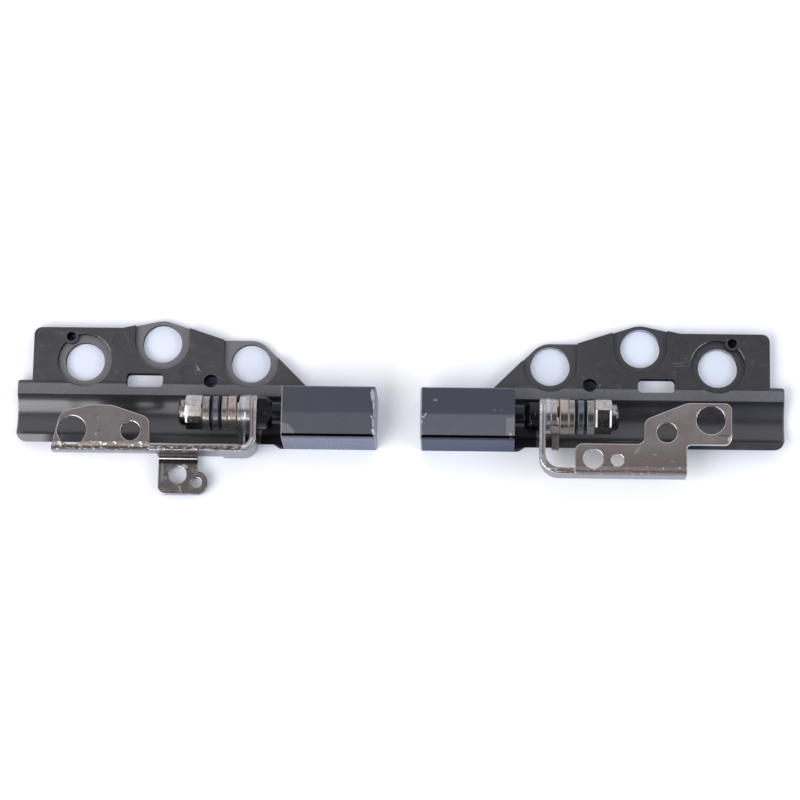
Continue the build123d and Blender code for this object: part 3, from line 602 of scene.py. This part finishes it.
# Painted shade on one flat of the nut, per side.
NUT_FACET_SHADE = {"left": 0.25, "right": 0.95}
NUT_NOSE = 31.85
# Painted highlight tone for the collar's band.
COLLAR_HIGHLIGHT = (0.50, 0.57, 0.68, 1)
COLLAR_BANDS = {"left": 21.9, "right": 21.2}


def ring_steel(side, name):
    """Turned steel, oily above, painted shade and grease below; the nut's flats are slightly crowned."""
    steel = finish(f"{side}_{name}_steel")
    bright, dull = RING_TONES[name]
    along, across, up = steel.hinge_place()
    turned = steel.noise(1.0, 3.0, 0.6, steel.stretched(9.0, 0.3, 0.3))
    stain = steel.noise(0.9, 4.0, 0.6)
    mottle = steel.noise(2.2, 3.0, 0.7)
    colour = steel.mix(bright, dull, stain.above(0.4, 0.75) * 0.7 + turned * 0.4)
    # Painted shade: each ring darkens towards its lower front, mixed with speckled grease; seams are real
    # joints.
    shade_start = (NUT_SHADE_STARTS if name == "lock_nut" else RING_SHADE_STARTS)[side]
    below = (across * 0.8 + up * 0.35 + stain * 1.2 - shade_start).above(0.4, -1.6)
    start, end = sorted(abs(corner[0]) / MM - cap_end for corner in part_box(f"{side}_{name}"))
    start = max(start, ARM_FACE)
    seam = abs(along - (start + end) / 2).above((end - start) / 2 - 0.2, (end - start) / 2 - 0.06)
    grease_and_shade = (below * 1.25 - mottle).above(-0.05, 0.25).either(seam * 0.9)
    height = turned * 0.04 + below * mottle * 0.9
    bare_and_sheen = steel.cells(2.4).above(0.24, 0.12) * below * (1 - seam) * 0.8
    if name == "lock_nut":
        # Painted shade: one flat is darkened, far more on the right; the nose darkens in mottled patches.
        facet = steel.facing(NUT_FACET).above(0.95, 0.985)
        grease_and_shade = grease_and_shade.either(facet * NUT_FACET_SHADE[side])
        grease_and_shade = grease_and_shade.either(along.above(NUT_NOSE - 0.05, NUT_NOSE + 0.05) * mottle.above(0.6, 0.4) * 0.8)
        height = height + (1 - ((along - NUT_MIDDLE) / NUT_HALF) ** 2.0) * (NUT_CROWN / RING_RELIEF)
    if name == "stop_collar":
        # Painted highlight: a bluish band on the collar.
        collar_highlight = along.within(COLLAR_BANDS[side], 0.3, 0.1) * mottle.above(0.36, 0.5)
        colour = steel.mix(colour, COLLAR_HIGHLIGHT, collar_highlight)
        bare_and_sheen = bare_and_sheen.either(collar_highlight * 0.8)
    grease_and_shade = grease_and_shade * (1 - bare_and_sheen)
    shade_amount = NUT_SHADE_AND_GREASE if name == "lock_nut" else RING_SHADE_AND_GREASE[side]
    colour = steel.mix(colour, RING_GREASE_AND_SHADE, grease_and_shade * shade_amount)
    metallic = 1 - grease_and_shade * RING_DULLING
    if name == "lock_nut":
        # Painted highlights: glints along the nut's flat.
        glint = 0.0
        for place in NUT_GLINTS[side]:
            glint = (along.within(place, 0.1, 0.1) * facet * stain.above(0.3, 0.45)).either(glint)
        colour = steel.mix(colour, NUT_GLINT, glint)
        metallic = 1 - glint
    roughness = 0.14 + stain * 0.08 + grease_and_shade * 0.25
    normal = steel.bump(height, RING_RELIEF, RING_EDGE)
    return steel.shade(base_color=colour, metallic=metallic, roughness=roughness, normal=normal)


for side in SIDES:
    for name in RING_TONES:
        dress(f"{side}_{name}", ring_steel(side, name))

# Table and light
# A wide pale table, shaded where it shows through the plates' holes, a large soft panel to the left and in
# front, a weak and a strong bluish one to the right, and a room that is bright behind the table, dark over
# its front and paler again farther away.
TABLE_SIZE = 3.0
TABLE_WHITE = (0.93, 0.945, 0.945, 1)
TABLE_SHADE = (0.68, 0.71, 0.88, 1)
TABLE_IN_LID_HOLES = (0.64, 0.70, 0.82, 1)
TABLE_DEEP = (0.09, 0.10, 0.16, 1)
SMALL_HOLE = (28.2, 6.1)
SMALL_HOLE_RADIUS = 1.2
SHADE_REACH = 0.006
GLOW_SEEN = (1.0, 1.0, 1.0, 1)
GLOW_MIRRORED = (0.40, 0.44, 0.75, 1)
GLOW_SHARE = 0.11
GLOW_STRENGTH = 1.5
ROOM_FRONT = (0.06, 0.06, 0.07, 1)
ROOM_BACK = (0.88, 0.875, 0.94, 1)
ROOM_FAR_FRONT = (0.36, 0.36, 0.40, 1)
# Where the room changes, as (from, to) on a unit sphere about the table.
FAR_FRONT_DEPTH = (-0.58, -0.78)
FAR_FRONT_HEIGHT = (0.30, 0.5)
BACK_DEPTH = (-0.12, 0.5)
PANEL_HEIGHT = 0.40

bpy.ops.mesh.primitive_plane_add(size=TABLE_SIZE)
table = bpy.context.object
table.name = "table"
paper = finish("table_paper")
camera_ray = paper.node("LightPath", {}, {}, "Is Camera Ray")
glossy_ray = paper.node("LightPath", {}, {}, "Is Glossy Ray")
clear_ray = paper.node("LightPath", {}, {}, "Is Transmission Ray")
seen = camera_ray.either(glossy_ray).either(clear_ray)
open_sky = paper.node("AmbientOcclusion", {"samples": 8}, {"Distance": SHADE_REACH}, "AO")
# Painted shade on the table: a tint where it is shut in, deeper in the lid holes, near black under small
# holes.
in_lid_hole = 0.0
for hole in LID_HOLES:
    in_lid_hole = paper.off(hole).above(LID_HOLE_RADIUS + 1.0, LID_HOLE_RADIUS).either(in_lid_hole)
closed_in = 0.0
for hole in (SMALL_HOLE, LOCATING_HOLE):
    closed_in = paper.off(hole).above(SMALL_HOLE_RADIUS + 0.6, SMALL_HOLE_RADIUS).either(closed_in)
table_tone = paper.mix(TABLE_SHADE, TABLE_WHITE, open_sky)
table_tone = paper.mix(table_tone, TABLE_IN_LID_HOLES, in_lid_hole)
table_tone = paper.mix(table_tone, TABLE_DEEP, closed_in)
matt = paper.node("BsdfDiffuse", {}, {"Color": table_tone})
glow_tone = paper.mix(GLOW_MIRRORED, GLOW_SEEN, camera_ray)
glow = paper.node("Emission", {}, {"Color": glow_tone, "Strength": GLOW_STRENGTH})
surface = paper.node("MixShader", {}, {0: seen * (1 - closed_in) * GLOW_SHARE, 1: matt, 2: glow})
paper.node("OutputMaterial", {}, {"Surface": surface})
table.data.materials.append(paper.owner)

room = Finish(bpy.data.worlds.new("studio"), "Generated", 1)
far_front = room.y.above(*FAR_FRONT_DEPTH) * room.z.above(*FAR_FRONT_HEIGHT)
room_tone = room.mix(ROOM_FRONT, ROOM_FAR_FRONT, far_front)
room_tone = room.mix(room_tone, ROOM_BACK, room.y.above(*BACK_DEPTH))
room_light = room.node("Background", {}, {"Color": room_tone})
room.node("OutputWorld", {}, {"Surface": room_light})
bpy.context.scene.world = room.owner


def soft_panel(name, from_x, to_x, from_y, to_y, radiance, colour):
    """A level panel above the table that shines straight down with an even radiance."""
    lamp = bpy.data.lights.new(name, "AREA")
    lamp.shape = "RECTANGLE"
    lamp.size = to_x - from_x
    lamp.size_y = to_y - from_y
    lamp.energy = radiance * math.pi * lamp.size * lamp.size_y
    lamp.color = colour
    panel = bpy.data.objects.new(name, lamp)
    panel.location = ((from_x + to_x) / 2, (from_y + to_y) / 2, PANEL_HEIGHT)
    bpy.context.scene.collection.objects.link(panel)


soft_panel("left_panel", -0.60, -0.10, -0.55, -0.04, 5.2, (1.0, 0.98, 0.99))
soft_panel("right_fill", 0.085, 0.30, -0.40, -0.05, 0.7, (0.80, 0.88, 1.0))
soft_panel("right_panel", 0.30, 0.75, -0.35, 0.05, 4.4, (0.85, 0.92, 1.0))

# Camera
# The photo looks almost straight down on the pair, from a little in front and a little to the right. The
# camera stands half a metre away and sees the hinge axis at 6 pixels a millimetre.
PHOTO_SIZE = 800
PIXELS_PER_MM = 6.0
AXIS_PIXEL = (398.4, 414.6)
CAMERA_DISTANCE = 500 * MM
TILT = math.radians(11.7)
LEAN = math.radians(2.0)
ROLL = math.radians(0.66)

toward = Vector((math.tan(LEAN), -math.tan(TILT), 1)).normalized()
upward = Matrix.Rotation(ROLL, 3, toward) @ Vector((1, 0, 0)).cross(-toward).normalized()
rightward = upward.cross(toward)
middle = Vector((0, hinge_axis.y, hinge_axis.z)) * MM
pixel = MM / PIXELS_PER_MM
aside = (PHOTO_SIZE / 2 - AXIS_PIXEL[0]) * pixel
above = (AXIS_PIXEL[1] - PHOTO_SIZE / 2) * pixel
lens = bpy.data.cameras.new("photo_camera")
lens.sensor_width = 36.0
lens.lens = lens.sensor_width * CAMERA_DISTANCE / (PHOTO_SIZE * pixel)
lens.clip_start = 0.01
camera = bpy.data.objects.new("photo_camera", lens)
bpy.context.scene.collection.objects.link(camera)
turn = Matrix((rightward, upward, toward)).transposed().to_4x4()
eye = middle + rightward * aside + upward * above + toward * CAMERA_DISTANCE
camera.matrix_world = Matrix.Translation(eye) @ turn
bpy.context.scene.camera = camera
bpy.context.scene.view_settings.view_transform = "Standard"
